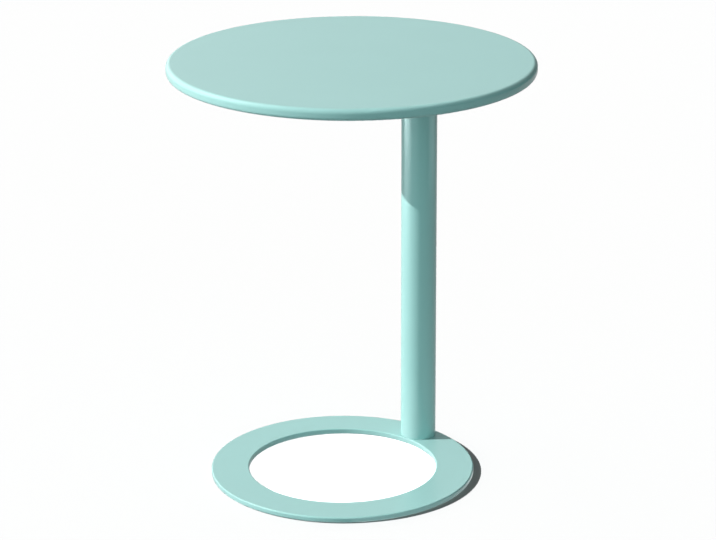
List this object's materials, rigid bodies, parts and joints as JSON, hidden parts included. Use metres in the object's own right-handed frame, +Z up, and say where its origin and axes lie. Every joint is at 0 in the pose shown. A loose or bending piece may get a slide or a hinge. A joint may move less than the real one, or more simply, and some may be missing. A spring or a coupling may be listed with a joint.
{
  "type": "side table",
  "caption": "Small round metal side table: thin rounded top on one off-centre round column that stands on a flat ring lying on the floor.",
  "frame": {"origin": "on the floor, under the middle of the round top", "axes": "+Z up, normal to the top; +Y from the middle of the top to the column; X square to both, with the table alike on its two sides"},
  "size_m": [0.3999, 0.4, 0.473],
  "materials": {
    "powder_coat": "pale aqua powder coat on steel, satin, with a very fine orange peel",
    "plated_steel": "zinc-plated steel, satin",
    "felt": "dense grey wool felt"
  },
  "bodies": {
    "root": {"table_top": "powder_coat", "top_stiffener": "powder_coat", "weld_nuts": "plated_steel", "flange_washers": "plated_steel", "flange_screws": "plated_steel", "column_flange": "powder_coat", "flange_weld": "powder_coat", "column_tube": "powder_coat", "column_plug": "plated_steel", "base_screws": "plated_steel", "base_ring": "powder_coat", "floor_pad_1": "felt", "floor_pad_2": "felt", "floor_pad_3": "felt", "floor_pad_4": "felt", "floor_pad_5": "felt", "floor_pad_6": "felt"}
  },
  "joints": []
}
